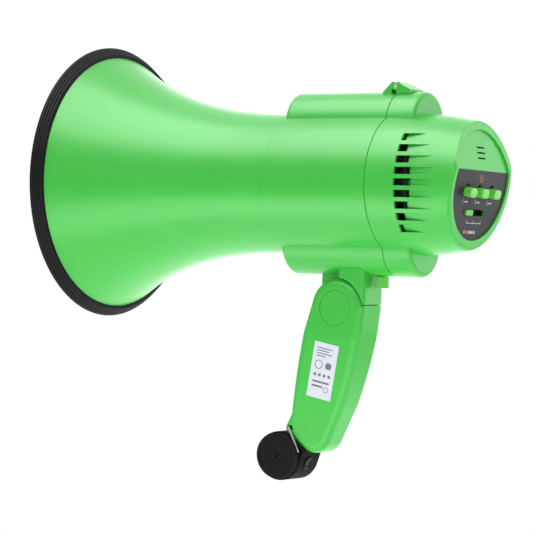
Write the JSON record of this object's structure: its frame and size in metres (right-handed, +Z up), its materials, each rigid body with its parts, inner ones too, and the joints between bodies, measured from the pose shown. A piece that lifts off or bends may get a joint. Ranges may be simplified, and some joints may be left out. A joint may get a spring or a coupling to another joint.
{
  "type": "handheld megaphone",
  "caption": "Handheld megaphone: flared horn with folded throat, battery barrel, removable rear cover with controls, and a folding pistol grip with trigger and wrist strap.",
  "frame": {"origin": "middle of the hand grip, on its centre plane, where the palm closes on it", "axes": "+X from the mouth of the horn back to the speaker's face, +Z up, +Y to the speaker's right"},
  "size_m": [0.3326, 0.211, 0.3271],
  "materials": {
    "shell_plastic": "semi-gloss moulded",
    "guard_rubber": "matt",
    "knob_plastic": "semi-gloss moulded",
    "label_film": "satin film",
    "sticker_film": "satin film",
    "steel": "bright plated",
    "magnet_ceramic": "sintered",
    "diaphragm_film": "thin film",
    "copper": "enamelled wire",
    "inner_plastic": "matt moulded",
    "cell_jacket": "printed jacket, plain",
    "circuit_board": "solder mask",
    "aluminium": "anodised",
    "webbing": "woven",
    "stud_metal": "black enamel"
  },
  "bodies": {
    "handle": {"handle_left_shell": "shell_plastic", "handle_right_shell": "shell_plastic", "pivot_bolt": "steel", "pivot_nut": "steel", "pivot_washers": "steel", "pivot_cap_left": "shell_plastic", "pivot_cap_right": "shell_plastic", "handle_screws": "steel", "trigger_pin": "steel", "trigger_spring": "steel", "trigger_switch": "inner_plastic", "handle_label": "sticker_film"},
    "horn": {"horn_bell": "shell_plastic", "rim_guard": "guard_rubber", "throat_tube": "shell_plastic", "reflector_cup": "shell_plastic", "diaphragm_clamp": "inner_plastic", "diaphragm": "diaphragm_film", "voice_coil": "copper", "driver_top_plate": "steel", "driver_magnet": "magnet_ceramic", "driver_yoke": "steel", "driver_screws": "steel", "throat_screws": "steel", "barrel_screws": "steel", "barrel_shell": "shell_plastic", "battery_sleeve_top": "inner_plastic", "battery_sleeve_bottom": "inner_plastic", "battery_cells_top": "cell_jacket", "battery_cells_bottom": "cell_jacket", "front_cell_contacts": "steel", "latch_pin": "steel", "volume_potentiometer": "inner_plastic", "handle_bracket": "shell_plastic", "bracket_screws": "steel"},
    "cover": {"rear_cover": "shell_plastic", "rear_cell_contacts": "steel", "control_label": "label_film", "control_board": "circuit_board", "control_board_screws": "steel", "switch_bodies": "inner_plastic", "mode_switch_body": "inner_plastic", "microphone_capsule": "aluminium", "microphone_boot": "guard_rubber", "amplifier_board": "circuit_board", "heat_sink": "aluminium", "capacitors": "aluminium", "amplifier_screws": "steel"},
    "latch": {"latch_lever": "shell_plastic"},
    "volume": {"volume_knob": "knob_plastic"},
    "switch_1": {"switch_knob_1": "knob_plastic"},
    "switch_2": {"switch_knob_2": "knob_plastic"},
    "switch_3": {"switch_knob_3": "knob_plastic"},
    "mode": {"mode_knob": "knob_plastic"},
    "trigger": {"talk_trigger": "inner_plastic"},
    "strap": {"strap_ring": "steel", "wrist_strap": "webbing", "strap_snap": "stud_metal"}
  },
  "joints": [
    {"name": "handle_fold", "type": "hinge", "parent": "handle", "child": "horn", "pos_m": [0.009, 0, 0.0542], "axis": [0, -1, 0], "range_deg": [0, 65]},
    {"name": "trigger_pull", "type": "hinge", "parent": "handle", "child": "trigger", "pos_m": [-0.0115, 0, 0.0375], "axis": [0, -1, 0], "range_deg": [0, 5.7], "stiffness_Nm_per_rad": 0.6, "springref_deg": -5.73},
    {"name": "latch_lift", "type": "hinge", "parent": "horn", "child": "latch", "pos_m": [0.0516, 0, 0.2171], "axis": [0, -1, 0], "range_deg": [0, 70]},
    {"name": "cover_slide", "type": "slide", "parent": "horn", "child": "cover", "axis": [1, 0, 0], "range_m": [0, 0.11]},
    {"name": "volume_turn", "type": "hinge", "parent": "horn", "child": "volume", "pos_m": [0.0394, 0, 0.074], "axis": [0, 0, 1], "range_deg": [0, 270]},
    {"name": "switch_1_slide", "type": "slide", "parent": "cover", "child": "switch_1", "axis": [0.1822, 0, 0.9833], "range_m": [0, 0.003]},
    {"name": "switch_2_slide", "type": "slide", "parent": "cover", "child": "switch_2", "axis": [0.1822, 0, 0.9833], "range_m": [0, 0.003]},
    {"name": "switch_3_slide", "type": "slide", "parent": "cover", "child": "switch_3", "axis": [0.1822, 0, 0.9833], "range_m": [0, 0.003]},
    {"name": "mode_slide", "type": "slide", "parent": "cover", "child": "mode", "axis": [0, 1, 0], "range_m": [0, 0.0212]},
    {"name": "strap_swing", "type": "hinge", "parent": "handle", "child": "strap", "pos_m": [-0.0285, 0, -0.0364], "axis": [0, 1, 0], "range_deg": [0, 50]}
  ]
}
